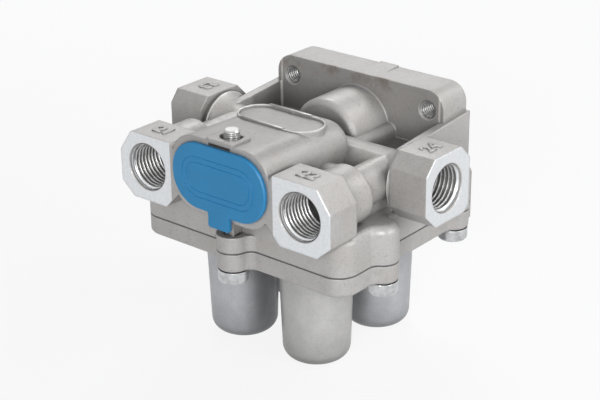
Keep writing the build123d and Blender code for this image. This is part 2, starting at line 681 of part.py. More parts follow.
def diaphragm():
    """The rubber diaphragm: a flat centre, one shallow roll and a clamped bead."""
    top = HEAD_BOTTOM_Z
    low = PLATE_TOP
    edge = SPRING_PLATE_R + 0.2
    rim = DIAPHRAGM_R - DIAPHRAGM_BEAD
    roll = (edge + rim - DIAPHRAGM_LIP) / 2
    web = JOINT_Z - DIAPHRAGM_T
    profile = Polyline((STEM_R + TOUCH_GAP, low), (STEM_R + TOUCH_GAP, top), (edge, top))
    profile += ThreePointArc(
        (edge, top), (roll, top - ROLL_DEPTH), (rim - DIAPHRAGM_LIP, JOINT_Z)
    )
    profile += Polyline(
        (rim - DIAPHRAGM_LIP, JOINT_Z),
        (DIAPHRAGM_R, JOINT_Z),
        (DIAPHRAGM_R, JOINT_Z - DIAPHRAGM_BEAD_H),
        (rim, JOINT_Z - DIAPHRAGM_BEAD_H),
        (rim, web),
        (rim - DIAPHRAGM_LIP, web),
    )
    profile += ThreePointArc(
        (rim - DIAPHRAGM_LIP, web), (roll, low - ROLL_DEPTH), (edge, low)
    )
    profile += Line((edge, low), (STEM_R + TOUCH_GAP, low))
    return revolve(Plane.XZ * make_face(profile), Axis.Z)


def spring_seat():
    """The turned seat under the spring, on the floor of the dome."""
    radius = dome_inner_r(SEAT_PLATE_Z) - SLIDE_GAP
    seat = rod((0, 0, SEAT_PLATE_Z), (0, 0, 1), radius, SPRING_SEAT_H)
    guide_r = SPRING_MEAN_R - SPRING_WIRE_R - SLIDE_GAP
    guide = rod((0, 0, SPRING_BOTTOM_Z), (0, 0, 1), guide_r, SPRING_GUIDE_H)
    return seat + fillet(guide.edges().group_by(Axis.Z)[-1], 0.8)


def pressure_spring():
    length = SPRING_TOP_Z - SPRING_BOTTOM_Z - 2 * TOUCH_GAP
    spring = coil(SPRING_MEAN_R, SPRING_WIRE_R, length, SPRING_TURNS)
    return Pos(0, 0, SPRING_BOTTOM_Z + TOUCH_GAP) * spring


def check_valve(x):
    """One check valve on its seat, with a guide stem that runs in the plug."""
    seat = CHECK_SEAT_Y - TOUCH_GAP
    head = rod((x, seat, BARREL_Z), (0, -1, 0), CHECK_HEAD_R, CHECK_HEAD_H)
    pocket = rod((x, seat, BARREL_Z), (0, -1, 0), CHECK_SEAL_R, CHECK_SEAL_H)
    tail = OPENING_DEPTH - CHECK_STEM_LENGTH
    stem = rod((x, seat, BARREL_Z), (0, -1, 0), CHECK_STEM_R, seat - tail)
    return head - pocket + stem


def check_seal(x):
    """The rubber ring in the check valve's face."""
    seat = CHECK_SEAT_Y - TOUCH_GAP
    ring = rod((x, seat, BARREL_Z), (0, -1, 0), CHECK_SEAL_R, CHECK_SEAL_H)
    return ring - rod((x, seat, BARREL_Z), (0, -1, 0), CHECK_STEM_R, CHECK_SEAL_H)


def check_spring(x):
    """The light spring between the plug and the check valve."""
    back = CHECK_SEAT_Y - TOUCH_GAP - CHECK_HEAD_H
    length = back - OPENING_DEPTH - 2 * TOUCH_GAP
    spring = coil(CHECK_MEAN_R, CHECK_WIRE_R, length, CHECK_TURNS)
    return Location((x, OPENING_DEPTH + TOUCH_GAP, BARREL_Z), (-90, 0, 0)) * spring


def plug_outline(inset):
    return RectangleRounded(
        2 * (OPENING_HALF_WIDTH - inset),
        2 * (OPENING_HALF_HEIGHT - inset),
        OPENING_CORNER_R - inset,
    )


def closing_plug():
    """The plug that closes both check valve bores, with a ring groove, a pin hole and two guides."""
    face = front_plane(0, PLUG_FRONT_Y, BARREL_Z)
    plug = extrude(face * plug_outline(FIT_GAP), PLUG_FRONT_Y - OPENING_DEPTH)
    groove_face = front_plane(0, PLUG_RING_Y - PLUG_RING_R, BARREL_Z)
    groove = groove_face * (plug_outline(-1) - plug_outline(2 * PLUG_RING_R))
    plug -= extrude(groove, -2 * PLUG_RING_R)
    top = BARREL_Z + OPENING_HALF_HEIGHT
    plug -= rod((0, PIN_Y, top), (0, 0, -1), PIN_R + FIT_GAP, PIN_GRIP + FIT_GAP)
    for side in (-1, 1):
        start = (side * CHECK_X, OPENING_DEPTH, BARREL_Z)
        depth = CHECK_STEM_LENGTH + CHECK_TRAVEL + SLIDE_GAP
        plug -= rod(start, (0, -1, 0), CHECK_STEM_R + SLIDE_GAP, depth)
    return plug


def plug_ring():
    """The rubber ring that seals the plug in its opening."""
    face = front_plane(0, PLUG_RING_Y - PLUG_RING_R + TOUCH_GAP, BARREL_Z)
    ring = face * (plug_outline(TOUCH_GAP) - plug_outline(2 * PLUG_RING_R - TOUCH_GAP))
    return extrude(ring, -2 * (PLUG_RING_R - TOUCH_GAP))


def locking_pin():
    """The grooved pin that goes down through the pad into the plug and holds it."""
    top = BARREL_Z + BARREL_HALF_HEIGHT + PAD_RISE + PIN_RISE
    bottom = BARREL_Z + OPENING_HALF_HEIGHT - PIN_GRIP
    pin = rod((0, PIN_Y, bottom), (0, 0, 1), PIN_R, top - bottom)
    pin = chamfer(pin.edges().group_by(Axis.Z)[-1], 0.5)
    for step in (1, 2, 3):
        z = top - 0.4 - step * 2.5 * PIN_GROOVE
        ring = Circle(PIN_R + 1) - Circle(PIN_R - PIN_GROOVE)
        pin -= extrude(Pos(0, PIN_Y, z) * ring, PIN_GROOVE)
    return pin


def cover_outline(inset):
    return RectangleRounded(
        2 * (COVER_HALF_WIDTH - inset),
        2 * (COVER_HALF_HEIGHT - inset),
        max(COVER_CORNER_R - inset, 1.0),
    )


def front_cover():
    """The moulded push-on cover: a thin plate with two grooves, a tab and a spigot behind."""
    tab_top = BARREL_Z - COVER_HALF_HEIGHT + 2
    plate = extrude(front_plane(0, -TOUCH_GAP, BARREL_Z) * cover_outline(0), COVER_T - TOUCH_GAP)
    plate = chamfer(plate.faces().sort_by(Axis.Y)[0].edges(), COVER_EDGE)
    tab = box_between(-TAB_HALF_WIDTH, TAB_HALF_WIDTH, -COVER_T, -TOUCH_GAP, TAB_BOTTOM_Z, tab_top)
    plate += fillet(tab.edges().filter_by(Axis.Y).group_by(Axis.Z)[0], 0.8)
    for inset in (COVER_GROOVE_INSET, COVER_GROOVE_INSET + COVER_GROOVE_STEP):
        line = cover_outline(inset) - cover_outline(inset + COVER_GROOVE_W)
        plate -= extrude(front_plane(0, -COVER_T, BARREL_Z) * line, -COVER_GROOVE_W / 2)
    spigot = front_plane(0, -TOUCH_GAP, BARREL_Z) * plug_outline(SLIDE_GAP)
    return plate + extrude(spigot, -COVER_SPIGOT_T)


def inlet_ring():
    """The rubber ring that seals the inlet against the part that the flange bolts to."""
    ring = Torus(INLET_RING_R, INLET_CORD_R)
    y = BODY_DEPTH + INLET_RING_PROUD - INLET_CORD_R
    return Location((0, y, INLET_Z), (90, 0, 0)) * ring


def pieces():
    """Every piece of the valve by name, in the building frame."""
    screw = housing_screw()
    screws = [Pos(x, y, HOUSING_BOTTOM_Z) * screw for x, y in screw_points()]
    named = {
        "upper_body": upper_body(),
        "spring_housing": spring_housing(),
        "housing_screws": Compound(children=screws),
        "front_cover": front_cover(),
        "closing_plug": closing_plug(),
        "plug_ring": plug_ring(),
        "locking_pin": locking_pin(),
        "inlet_ring": inlet_ring(),
    }
    stack = {
        "valve_head": valve_head(),
        "valve_seal": valve_seal(),
        "spring_plate": spring_plate(),
        "diaphragm": diaphragm(),
        "pressure_spring": pressure_spring(),
        "spring_seat": spring_seat(),
    }
    for circuit, (x, y) in CIRCUITS.items():
        for name, shape in stack.items():
            named[f"{name}_{circuit}"] = Pos(x, y, 0) * shape
    for circuit, x in (("23", -CHECK_X), ("24", CHECK_X)):
        named[f"check_valve_{circuit}"] = check_valve(x)
        named[f"check_seal_{circuit}"] = check_seal(x)
        named[f"check_spring_{circuit}"] = check_spring(x)
    return named


def main():
    os.makedirs("parts", exist_ok=True)
    on_its_feet = Location((0, -MIDDLE_Y, -FOOT_DROP))
    for name, shape in pieces().items():
        export_step(shape.moved(on_its_feet), f"parts/{name}.step")


main()
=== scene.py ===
"""The looks of the four-circuit protection valve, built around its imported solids.

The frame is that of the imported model: X to the right, Y towards the inlet flange, Z up, with the
valve standing on its four domes. Places and sizes of shapes are in millimetres and are scaled by MM
when they reach Blender. Fades are pairs in metres: where a mask is nothing, and where it is full.
"""

import json
import math

import bpy
from mathutils import Matrix, Vector


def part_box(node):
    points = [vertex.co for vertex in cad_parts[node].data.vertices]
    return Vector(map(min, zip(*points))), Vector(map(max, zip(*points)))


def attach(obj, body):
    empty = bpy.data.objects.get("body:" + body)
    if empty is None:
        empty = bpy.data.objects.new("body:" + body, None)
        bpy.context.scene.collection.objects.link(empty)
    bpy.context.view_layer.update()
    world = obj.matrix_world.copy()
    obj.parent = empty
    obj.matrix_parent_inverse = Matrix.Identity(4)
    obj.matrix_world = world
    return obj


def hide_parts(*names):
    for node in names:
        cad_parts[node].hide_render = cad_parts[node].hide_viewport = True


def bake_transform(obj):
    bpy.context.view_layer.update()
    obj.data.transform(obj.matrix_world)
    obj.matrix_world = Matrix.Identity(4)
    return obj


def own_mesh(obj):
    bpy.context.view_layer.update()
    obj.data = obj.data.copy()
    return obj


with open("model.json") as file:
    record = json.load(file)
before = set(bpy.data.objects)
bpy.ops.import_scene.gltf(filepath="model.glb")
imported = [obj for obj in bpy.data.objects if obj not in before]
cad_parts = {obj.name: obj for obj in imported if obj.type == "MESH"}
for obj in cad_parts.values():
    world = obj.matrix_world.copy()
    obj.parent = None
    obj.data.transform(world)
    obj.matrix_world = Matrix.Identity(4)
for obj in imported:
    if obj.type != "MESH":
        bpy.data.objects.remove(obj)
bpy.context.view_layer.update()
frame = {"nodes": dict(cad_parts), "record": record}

MM = 0.001
CIRCUITS = ("21", "22", "23", "24")
CHECKED_CIRCUITS = ("23", "24")

# Places of the model's features, in millimetres
MIDDLE_Y = 41.25
PORT_Z = 64.0
FRONT_PORT = Vector((32.2, -MIDDLE_Y, PORT_Z))
SIDE_PORT = Vector((54.3, 45.9 - MIDDLE_Y, PORT_Z))
FLANGE_BACK_Y = 83.3 - MIDDLE_Y
FLANGE_THICKNESS = 13.1
FLANGE_HOLE_X = 29.0
FLANGE_HOLE_Z = PORT_Z + 13.3
JOINT_Z = PORT_Z - 21.4
HOUSING_BOTTOM_Z = JOINT_Z - 6.9
FRONT_FACET_Z = PORT_Z + 11.0
SIDE_FACET_Z = PORT_Z + 11.9

# The dished plate on the barrel, in millimetres
PLATE_CENTRE = Vector((0, 29.8 - MIDDLE_Y, PORT_Z + 15.6))
PLATE_LENGTH = 32.3
PLATE_WIDTH = 14.5
PLATE_BEAD_R = 0.3
WALL_BEAD_R = 0.32
WALL_BEAD_RISE = 0.42
WALL_BEAD_ENDS = (-10.7, 6.7)

# The outlet and flange threads, in millimetres: crest, root, pitch, first and last depth, cone's mouth
OUTLET_THREAD = (7.15, 7.85, 1.5, 0.35, 13.6, 8.22)
FLANGE_THREAD = (2.45, 2.88, 1.0, 0.45, FLANGE_THICKNESS - 0.45, 3.42)
OUTLET_CONE_SLOPE = 0.5
FLANGE_CONE_SLOPE = 1.0
CONE_MARGIN = 0.12

# Shares of a thread's pitch: the crest's end, a flank's width, the root's end, and the span painted dark
# as shade
CREST_END = 0.14
FLANK = 0.29
ROOT_END = 0.71
DARK_FROM = 0.3
DARK_TO = 0.86

# The rim and horn behind a side boss, in millimetres
RIM_BACK_X = 40.3
RIM_R = 11.0
LEFT_RIM_X = 38.4
RIGHT_RIM_X = 38.9
HORN_LENGTH = 8.6
HORN_END_R = 7.2
HORN_RISE = 3.9
HORN_CURVE = 2.2
FLASH_AND_HIGHLIGHT_ROWS = (2, 3)

# The raised numerals, in millimetres
NUMERAL_SIZE = 6.8
NUMERAL_HALF_HEIGHT = 0.3
NUMERAL_BEVEL = 0.14
NUMERAL_STROKE = 0.12
FRONT_NUMERAL_X = 30.4
FRONT_NUMERAL_BACK = 6.8
SIDE_NUMERAL_X = 47.6
SIDE_NUMERAL_SHIFT = 0.3

# The diaphragms, in millimetres
DISC_TOP_Z = PORT_Z - 21.84
DISC_THICKNESS = 1.16
DISC_HOLE_R = 2.03
ROLL_INNER_R = 8.8
ROLL_OUTER_R = 11.4
ROLL_DEPTH = 1.1
BEAD_INNER_R = 12.6
BEAD_R = 14.3
BEAD_HEIGHT = 2.2

# Camera and lamps
AIM = (0, 0, 0.06)
LAMP_DISTANCE = 0.9
CAMERA_AZIMUTH = 40.0
CAMERA_ELEVATION = 23.65
CAMERA_ROLL = -0.677
CAMERA_LENS = 92.216
CAMERA_TARGET = Vector((25.59, -32.94, 65.18))
CAMERA_DISTANCE = 471.45
WHITE = (1, 1, 1, 1)
WORLD_DARK = (0.02, 0.02, 0.02, 1)
WORLD_LIGHT = (0.06, 0.06, 0.065, 1)
BRIGHTEST_SKY = (0.5, 0.1, 0.85)
FLOOR_HALF = 3.0
FLOOR_BOUNCE = (0.4, 0.4, 0.41, 1)
FLOOR_SHOWN = (0.86, 0.86, 0.87, 1)
FLOOR_GLOW = 0.86

# Colours of the metals, the cover and the rubber
WARM = (0.44, 0.422, 0.405, 1)
COOL = (0.48, 0.47, 0.462, 1)
BLUISH = (0.5, 0.512, 0.535, 1)
BLUISH_LIGHT = (0.54, 0.552, 0.575, 1)
GREENISH = (0.49, 0.488, 0.475, 1)
GREENISH_LIGHT = (0.55, 0.548, 0.532, 1)
MACHINED = (0.74, 0.76, 0.78, 1)
MACHINED_ROUGHNESS = (0.36, 0.36, 0.36, 1)
STAIN = (0.24, 0.19, 0.15, 1)
ZINC = (0.6, 0.615, 0.62, 1)
BLUE = (0.024, 0.235, 0.49, 1)
TURNED = (0.7, 0.7, 0.72, 1)
PIN = (0.46, 0.46, 0.455, 1)
WIRE = (0.3, 0.3, 0.31, 1)
BRASS = (0.72, 0.5, 0.2, 1)
RUBBER = (0.03, 0.03, 0.03, 1)
# Casting flash, lighter than the skin as a painted highlight
FLASH_AND_HIGHLIGHT = (0.6, 0.59, 0.575, 1)
THREAD_CREST = (0.5, 0.5, 0.5, 1)
# The roots' dark colour is painted shade
THREAD_ROOT_SHADE = (0.15, 0.147, 0.143, 1)
THREAD_CONE = (0.78, 0.79, 0.8, 1)

# Grains: the noise's scale and the relief's depth in metres
TURNED_GRAIN = (2500, 0.00001)
RUBBER_GRAIN = (2500, 0.00002)
PLATED_GRAIN = (900, 0.000004)
CAST_GRAIN = (2200, 0.00002)

# Fades of the body's finish and of its painted shade and highlight, in metres across the valve, along it
# and up it
CUT_WIDTH = 0.0002
FRONT_CUT_BEYOND = (0.0215, 0.0216)
BARREL_ACROSS = (0.0215, 0.0195)
BARREL_ALONG = (0.003, 0.000)
BARREL_UP = (0.062, 0.068)
FLANGE_ALONG = (0.0265, 0.028)
POCKET_INNER = (0.0165, 0.018)
POCKET_OUTER = (0.0343, 0.0342)
POCKET_FRONT = (0.0125, 0.0145)
POCKET_BACK = (0.0294, 0.0292)
POCKET_UP = (0.079, 0.070)
STAIN_UP = (0.0785, 0.083)
STAIN_FRONT = (0.0280, 0.0292)
STAIN_BACK = (0.0302, 0.0290)
CORNER_X = 0.0339
CORNER_Y = 0.0286
CORNER_WIDTH = 0.0005
SEAM_WIDTH = 0.0004

# Fades by the direction of a face: where a mask is nothing, and where it is full
CUT_TO_FRONT = (-0.98, -0.995)
CUT_TO_SIDE_OR_BACK = (0.98, 0.995)
TURNED_UP = (0.6, 0.9)
TURNED_TO_FRONT = (-0.5, -0.9)
TURNED_FROM_FRONT = (-0.9, -0.5)

# Factors on the castings' colour: painted highlights and painted shade, with edges also lighter as wear
# and the joint line dark
EDGE_LIGHT = 1.3
CREASE_SHADE = 0.62
BARREL_SHADE = 0.88
BARREL_TOP_SHADE = 0.86
FLANGE_SHADE = 0.72
POCKET_SHADE = 0.62
CORNER_LIGHT = 2.2
SEAM_SHADE = 0.35
PORT_SHADE = 0.22
VALLEY_SHADE = 0.72

# Fades inside the outlets, where shade is painted, in metres: the bore's and the passage's radius, mouth
# and end
BORE_RADIUS = (0.00818, 0.00806)
BORE_MOUTH = (0.0004, 0.0008)
BORE_END = (0.0142, 0.0141)
PASSAGE_RADIUS = (0.00518, 0.00506)
PASSAGE_MOUTH = (0.0139, 0.0140)
PASSAGE_END = (0.0305, 0.0300)

# Fades of the housing's finish and of the shade painted between its domes, in metres
DOME_UP = ((HOUSING_BOTTOM_Z + 0.4) * MM, (HOUSING_BOTTOM_Z - 1.5) * MM)
RIGHT_DOMES = (0.0, 0.001)
FRONT_DOMES = (0.003, 0.002)
VALLEY_ACROSS = (0.0085, 0.0055)

SHARP_ANGLE = 24
WELD_DISTANCE = 0.000002


# Camera and light

def place_camera():
    """Stands the camera where the photograph was taken from."""
    azimuth = math.radians(CAMERA_AZIMUTH)
    elevation = math.radians(CAMERA_ELEVATION)
    roll = math.radians(CAMERA_ROLL)
    back = Vector((
        math.sin(azimuth) * math.cos(elevation),
        -math.cos(azimuth) * math.cos(elevation),
        math.sin(elevation),
    ))
    level = Vector((math.cos(azimuth), math.sin(azimuth), 0))
    raised = back.cross(level)
    right = level * math.cos(roll) + raised * math.sin(roll)
    up = raised * math.cos(roll) - level * math.sin(roll)
    data = bpy.data.cameras.new("camera")
    data.sensor_width = 36.0
    data.lens = CAMERA_LENS
    data.clip_start = 0.02
    data.clip_end = 20.0
    camera = bpy.data.objects.new("camera", data)
    bpy.context.scene.collection.objects.link(camera)
    eye = CAMERA_TARGET * MM + back * CAMERA_DISTANCE * MM
    camera.matrix_world = Matrix((
        (right.x, up.x, back.x, eye.x),
        (right.y, up.y, back.y, eye.y),
        (right.z, up.z, back.z, eye.z),
        (0, 0, 0, 1),
    ))
    bpy.context.scene.camera = camera


def area_light(name, azimuth, elevation, size, power):
    """A soft square lamp aimed at the valve, by degrees round from the front to the right and up."""
    turn, rise = math.radians(azimuth), math.radians(elevation)
    level = LAMP_DISTANCE * math.cos(rise)
    place = Vector((
        level * math.sin(turn),
        -level * math.cos(turn),
        AIM[2] + LAMP_DISTANCE * math.sin(rise),
    ))
    data = bpy.data.lights.new(name, "AREA")
    data.shape = "RECTANGLE"
    data.size = size
    data.size_y = size
    data.energy = power
    lamp = bpy.data.objects.new(name, data)
    bpy.context.scene.collection.objects.link(lamp)
    lamp.location = place
    lamp.rotation_mode = "QUATERNION"
    lamp.rotation_quaternion = (Vector(AIM) - place).to_track_quat("-Z", "Y")
    return lamp


def shown_rays(nodes, links):
    """One for the rays that show the background: camera, glossy and transmission rays."""
    path = nodes.new("ShaderNodeLightPath")
    either = nodes.new("ShaderNodeMath")
    either.operation = "MAXIMUM"
    all_three = nodes.new("ShaderNodeMath")
    all_three.operation = "MAXIMUM"
    links.new(path.outputs["Is Camera Ray"], either.inputs[0])
    links.new(path.outputs["Is Glossy Ray"], either.inputs[1])
    links.new(either.outputs[0], all_three.inputs[0])
    links.new(path.outputs["Is Transmission Ray"], all_three.inputs[1])
    return all_three.outputs[0]


def light_world():
    """White to the camera; for the light soft and dim, a little brighter from above and the right."""
    world = bpy.data.worlds.new("studio")
    bpy.context.scene.world = world
    world.use_nodes = True
    nodes, links = world.node_tree.nodes, world.node_tree.links
    nodes.clear()
    out = nodes.new("ShaderNodeOutputWorld")
    mix = nodes.new("ShaderNodeMixShader")
    white = nodes.new("ShaderNodeBackground")
    white.inputs["Color"].default_value = WHITE
    soft = nodes.new("ShaderNodeBackground")
    soft.inputs["Strength"].default_value = 1.0
    coord = nodes.new("ShaderNodeTexCoord")
    dot = nodes.new("ShaderNodeVectorMath")
    dot.operation = "DOT_PRODUCT"
    dot.inputs[1].default_value = Vector(BRIGHTEST_SKY).normalized()
    ramp = nodes.new("ShaderNodeMapRange")
    ramp.inputs["From Min"].default_value = -1.0
    ramp.inputs["From Max"].default_value = 1.0
    ramp.inputs["To Min"].default_value = 0.0
    ramp.inputs["To Max"].default_value = 1.0
    colour = nodes.new("ShaderNodeMix")
    colour.data_type = "RGBA"
    colour.inputs[6].default_value = WORLD_DARK
    colour.inputs[7].default_value = WORLD_LIGHT
    links.new(coord.outputs["Generated"], dot.inputs[0])
    links.new(dot.outputs["Value"], ramp.inputs["Value"])
    links.new(ramp.outputs["Result"], colour.inputs[0])
    links.new(colour.outputs[2], soft.inputs["Color"])
    links.new(shown_rays(nodes, links), mix.inputs[0])
    links.new(soft.outputs[0], mix.inputs[1])
    links.new(white.outputs[0], mix.inputs[2])
    links.new(mix.outputs[0], out.inputs["Surface"])


def make_floor():
    """A pale floor that looks nearly white, keeps a faint shadow and bounces less light."""
    mesh = bpy.data.meshes.new("floor")
    corners = [(-1, -1), (1, -1), (1, 1), (-1, 1)]
    mesh.from_pydata([(x * FLOOR_HALF, y * FLOOR_HALF, 0) for x, y in corners], [], [(0, 1, 2, 3)])
    floor = bpy.data.objects.new("floor", mesh)
    bpy.context.scene.collection.objects.link(floor)
    material = bpy.data.materials.new("floor_white")
    material.use_nodes = True
    nodes, links = material.node_tree.nodes, material.node_tree.links
    nodes.clear()
    out = nodes.new("ShaderNodeOutputMaterial")
    diffuse = nodes.new("ShaderNodeBsdfDiffuse")
    tone = nodes.new("ShaderNodeMix")
    tone.data_type = "RGBA"
    tone.inputs[6].default_value = FLOOR_BOUNCE
    tone.inputs[7].default_value = FLOOR_SHOWN
    glow = nodes.new("ShaderNodeEmission")
    glow.inputs["Color"].default_value = WHITE
    share = nodes.new("ShaderNodeMath")
    share.operation = "MULTIPLY"
    share.inputs[1].default_value = FLOOR_GLOW
    mix = nodes.new("ShaderNodeMixShader")
    shown = shown_rays(nodes, links)
    links.new(shown, tone.inputs[0])
    links.new(tone.outputs[2], diffuse.inputs["Color"])
    links.new(shown, share.inputs[0])
    links.new(share.outputs[0], mix.inputs[0])
    links.new(diffuse.outputs[0], mix.inputs[1])
    links.new(glow.outputs[0], mix.inputs[2])
    links.new(mix.outputs[0], out.inputs["Surface"])
    mesh.materials.append(material)


# Materials

class Shade:
    """A small helper that builds one node material."""

    def __init__(self, name):
        self.material = bpy.data.materials.new(name)
        self.material.use_nodes = True
        self.tree = self.material.node_tree
        self.tree.nodes.clear()
        out = self.tree.nodes.new("ShaderNodeOutputMaterial")
        self.bsdf = self.tree.nodes.new("ShaderNodeBsdfPrincipled")
        self.tree.links.new(self.bsdf.outputs[0], out.inputs["Surface"])
        self.coord = self.tree.nodes.new("ShaderNodeTexCoord").outputs["Object"]

    def put(self, socket, value):
        """Sets a socket to a number or a colour, or links it to another node's output."""
        if isinstance(value, (int, float, tuple)):
            socket.default_value = value
        else:
            self.tree.links.new(value, socket)

    def finish(self, name, value):
        """Sets or links one input of the surface."""
        self.put(self.bsdf.inputs[name], value)

    def noise(self, scale, detail=2.0, rough=0.5):
        """Noise about a half, over the object's coordinates."""
        node = self.tree.nodes.new("ShaderNodeTexNoise")
        node.inputs["Scale"].default_value = scale
        node.inputs["Detail"].default_value = detail
        node.inputs["Roughness"].default_value = rough
        self.put(node.inputs["Vector"], self.coord)
        return node.outputs["Fac"]

    def span(self, value, low, high, to_low=0.0, to_high=1.0):
        """Maps a value's range to another, with the ends held."""
        node = self.tree.nodes.new("ShaderNodeMapRange")
        node.clamp = True
        self.put(node.inputs["Value"], value)
        node.inputs["From Min"].default_value = low
        node.inputs["From Max"].default_value = high
        node.inputs["To Min"].default_value = to_low
        node.inputs["To Max"].default_value = to_high
        return node.outputs["Result"]

    def math(self, operation, a, b=0.0):
        node = self.tree.nodes.new("ShaderNodeMath")
        node.operation = operation
        self.put(node.inputs[0], a)
        self.put(node.inputs[1], b)
        return node.outputs[0]

    def all_of(self, first, *others):
        """The product of several shares."""
        for other in others:
            first = self.math("MULTIPLY", first, other)
        return first

    def near(self, value, centre, width):
        """One within a distance of a value, and nothing further off."""
        away = self.math("ABSOLUTE", self.math("SUBTRACT", value, centre))
        return self.span(away, width * 0.6, width, 1.0, 0.0)

    def axis(self, name, source=None):
        """One coordinate of the object position, or of a normal."""
        node = self.tree.nodes.new("ShaderNodeSeparateXYZ")
        self.put(node.inputs[0], source or self.coord)
        return node.outputs[name]

    def normal(self):
        """The surface's true direction in the object's frame."""
        geometry = self.tree.nodes.new("ShaderNodeNewGeometry")
        turn = self.tree.nodes.new("ShaderNodeVectorTransform")
        turn.vector_type = "NORMAL"
        turn.convert_from = "WORLD"
        turn.convert_to = "OBJECT"
        self.put(turn.inputs[0], geometry.outputs["True Normal"])
        return turn.outputs[0]

    def mix(self, share, a, b):
        """Colour a where the share is nothing, b where it is one."""
        node = self.tree.nodes.new("ShaderNodeMix")
        node.data_type = "RGBA"
        self.put(node.inputs[0], share)
        self.put(node.inputs[6], a)
        self.put(node.inputs[7], b)
        return node.outputs[2]

    def times(self, colour, factor):
        """The colour times a grey factor."""
        node = self.tree.nodes.new("ShaderNodeMix")
        node.data_type = "RGBA"
        node.blend_type = "MULTIPLY"
        node.inputs[0].default_value = 1.0
        self.put(node.inputs[6], colour)
        self.put(node.inputs[7], factor)
        return node.outputs[2]

    def times_where(self, colour, share, factor):
        """The colour times a factor where the share is one, unchanged where it is nothing."""
        return self.times(colour, self.span(share, 0.0, 1.0, 1.0, factor))

    def bump(self, height, distance, strength, base):
        """The direction of a surface with small relief."""
        node = self.tree.nodes.new("ShaderNodeBump")
        node.inputs["Distance"].default_value = distance
        self.put(node.inputs["Strength"], strength)
        self.put(node.inputs["Height"], height)
        self.put(node.inputs["Normal"], base)
        return node.outputs[0]

    def rounded(self, radius):
        """The direction of a surface whose edges are rounded, by a radius in millimetres."""
        node = self.tree.nodes.new("ShaderNodeBevel")
        node.samples = 6
        node.inputs["Radius"].default_value = radius * MM
        return node.outputs[0]

    def painted_hollow_shade(self, distance, deep):
        """A grey factor of painted shade: one on open faces, falling to a low value in hollow places."""
        node = self.tree.nodes.new("ShaderNodeAmbientOcclusion")
        node.samples = 8
        node.inputs["Distance"].default_value = distance * MM
        return self.span(node.outputs["AO"], 0.3, 0.9, deep, 1.0)

    def edges(self, rounded):
        """One along edges and in corners, where the rounded direction leaves the true one."""
        geometry = self.tree.nodes.new("ShaderNodeNewGeometry")
        dot = self.tree.nodes.new("ShaderNodeVectorMath")
        dot.operation = "DOT_PRODUCT"
        self.put(dot.inputs[0], rounded)
        self.put(dot.inputs[1], geometry.outputs["True Normal"])
        return self.span(dot.outputs["Value"], 0.995, 0.93)


def cast_aluminium(name):
    """Fine-blasted cast aluminium: the material so far and its colour."""
    s = Shade(name)
    cloud = s.span(s.noise(70, 3.0, 0.6), 0.35, 0.68)
    colour = s.mix(cloud, WARM, COOL)
    grain = s.span(s.noise(2600, 2.0, 0.65), 0.25, 0.75, 0.86, 1.12)
    colour = s.times(colour, grain)
    specks = s.span(s.noise(900, 2.0, 0.6), 0.64, 0.74, 1.0, 0.7)
    colour = s.times(colour, specks)
    blotches = s.span(s.noise(260, 3.0, 0.65), 0.55, 0.75, 1.0, 0.9)
    colour = s.times(colour, blotches)
    return s, colour


def plain(name, colour, roughness, metallic, grain, spread=0.06):
    """A simple finish with slight changes of tone and a grain of a scale and a depth in metres."""
    grain_scale, grain_depth = grain
    s = Shade(name)
    tone = s.span(s.noise(grain_scale / 12, 3.0), 0.3, 0.7, 1 - spread, 1 + spread)
    s.finish("Base Color", s.times(colour, tone))
    s.finish("Metallic", metallic)
    rough = s.span(s.noise(grain_scale / 3, 2.0), 0.3, 0.7, roughness * 0.88, roughness * 1.12)
    s.finish("Roughness", rough)
    s.finish("Normal", s.bump(s.noise(grain_scale), grain_depth, 1.0, s.rounded(0.3)))
    return s


def inside_ports(s, x, y, z):
    """One inside the four outlet bores and the narrower passages behind them."""
    rise = s.math("SUBTRACT", z, FRONT_PORT.z * MM)
    across = s.math("SUBTRACT", s.math("ABSOLUTE", x), FRONT_PORT.x * MM)
    along = s.math("SUBTRACT", y, SIDE_PORT.y * MM)
    front_depth = s.math("SUBTRACT", y, FRONT_PORT.y * MM)
    side_depth = s.math("SUBTRACT", SIDE_PORT.x * MM, s.math("ABSOLUTE", x))
    found = 0.0
    for off, depth in ((across, front_depth), (along, side_depth)):
        squares = s.math("ADD", s.math("MULTIPLY", rise, rise), s.math("MULTIPLY", off, off))
        radius = s.math("SQRT", squares)
        bore = s.all_of(s.span(radius, *BORE_RADIUS), s.span(depth, *BORE_MOUTH), s.span(depth, *BORE_END))
        passage = s.all_of(
            s.span(radius, *PASSAGE_RADIUS),
            s.span(depth, *PASSAGE_MOUTH),
            s.span(depth, *PASSAGE_END),
        )
        found = s.math("MAXIMUM", found, s.math("MAXIMUM", bore, passage))
    return found


def cut_faces(s, x, y, facing):
    """One on the machined faces: the four outlets' and the flange's back."""
    faces_front = s.span(s.axis("Y", facing), *CUT_TO_FRONT)
    faces_side = s.span(s.math("ABSOLUTE", s.axis("X", facing)), *CUT_TO_SIDE_OR_BACK)
    faces_back = s.span(s.axis("Y", facing), *CUT_TO_SIDE_OR_BACK)
    beyond = s.span(s.math("ABSOLUTE", x), *FRONT_CUT_BEYOND)
    front = s.all_of(faces_front, s.near(y, FRONT_PORT.y * MM, CUT_WIDTH), beyond)
    side = s.all_of(faces_side, s.near(s.math("ABSOLUTE", x), SIDE_PORT.x * MM, CUT_WIDTH))
    back = s.all_of(faces_back, s.near(y, FLANGE_BACK_Y * MM, CUT_WIDTH))
    return s.math("MAXIMUM", s.math("MAXIMUM", front, side), back)


def edge_wear_highlight_and_crease_shade(s, colour):
    """The colour lighter along convex edges, partly as wear and partly as a painted highlight, and darker
    in creases as painted shade.
    """
    edge = s.edges(s.rounded(0.45))
    crease = s.painted_hollow_shade(1.6, 0.0)
    # Painted highlight on convex edges, partly wear too
    colour = s.times_where(colour, s.all_of(edge, crease), EDGE_LIGHT)
    # Painted shade in creases
    return s.times(colour, s.span(crease, 0.0, 1.0, CREASE_SHADE, 1.0))


